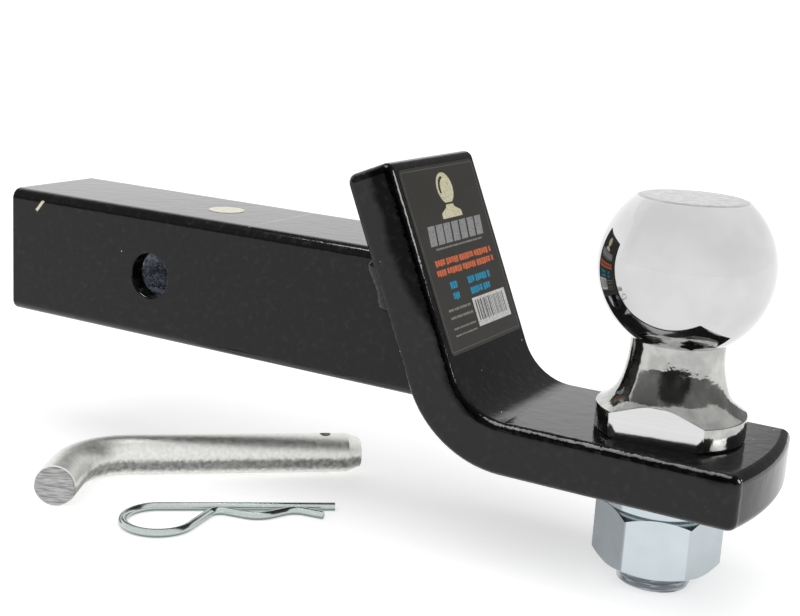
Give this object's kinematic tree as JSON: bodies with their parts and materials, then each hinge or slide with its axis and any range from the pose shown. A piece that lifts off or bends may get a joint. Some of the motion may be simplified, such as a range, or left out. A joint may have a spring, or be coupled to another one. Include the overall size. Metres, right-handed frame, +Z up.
{
  "type": "trailer ball mount with hitch ball",
  "caption": "Drop ball mount for a square receiver: tube shank, bent drop plate, chromed hitch ball with washer and nut, and a loose bent hitch pin with hairpin clip.",
  "frame": {"origin": "middle of the pin hole, on the shank's axis", "axes": "+X along the shank towards the ball, +Y across the shank along the pin hole, +Z up through the ball"},
  "size_m": [0.3152, 0.1135, 0.1361],
  "materials": {
    "black_paint": "gloss black paint over steel",
    "painted_weld": "gloss black paint over a rippled weld bead",
    "ball_chrome": "mirror chrome plate, satin on the flat top",
    "washer_zinc": "clear zinc plate",
    "nut_zinc": "blue-white zinc plate, satin",
    "pin_zinc": "clear zinc plate, mottled satin",
    "clip_zinc": "bright zinc-plated spring wire",
    "label_film": "satin printed film",
    "sticker_paper": "matte coated paper"
  },
  "bodies": {
    "mount": {"shank_tube": "black_paint", "drop_plate": "black_paint", "weld_top": "painted_weld", "weld_bottom": "painted_weld", "weld_left_side": "painted_weld", "weld_right_side": "painted_weld", "product_label": "label_film", "paper_sticker": "sticker_paper"},
    "ball": {"hitch_ball": "ball_chrome"},
    "washer": {"lock_washer": "washer_zinc"},
    "nut": {"hex_nut": "nut_zinc"},
    "pin": {"hitch_pin": "pin_zinc"},
    "clip": {"hairpin_clip": "clip_zinc"}
  },
  "joints": [
    {"name": "ball_turn", "type": "hinge", "parent": "mount", "child": "ball", "pos_m": [0.2053, 0, 0], "axis": [0, 0, 1], "continuous": true},
    {"name": "washer_drop", "type": "slide", "parent": "ball", "child": "washer", "axis": [0, 0, -1], "range_m": [0, 0.0045]},
    {"name": "nut_spin", "type": "hinge", "parent": "washer", "child": "nut", "pos_m": [0.2053, 0, -0.06], "axis": [0, 0, -1], "range_deg": [0, 900]},
    {"name": "pin_slide", "type": "slide", "parent": "mount", "child": "pin", "axis": [-0.7466, -0.6652, 0], "range_m": [0, 0.12]},
    {"name": "clip_slide", "type": "slide", "parent": "mount", "child": "clip", "axis": [0, -1, 0], "range_m": [0, 0.08]}
  ],
  "couplings": [
    {"joint": "nut_spin", "follows": "washer_drop", "rad_per_m": 3463.7}
  ]
}
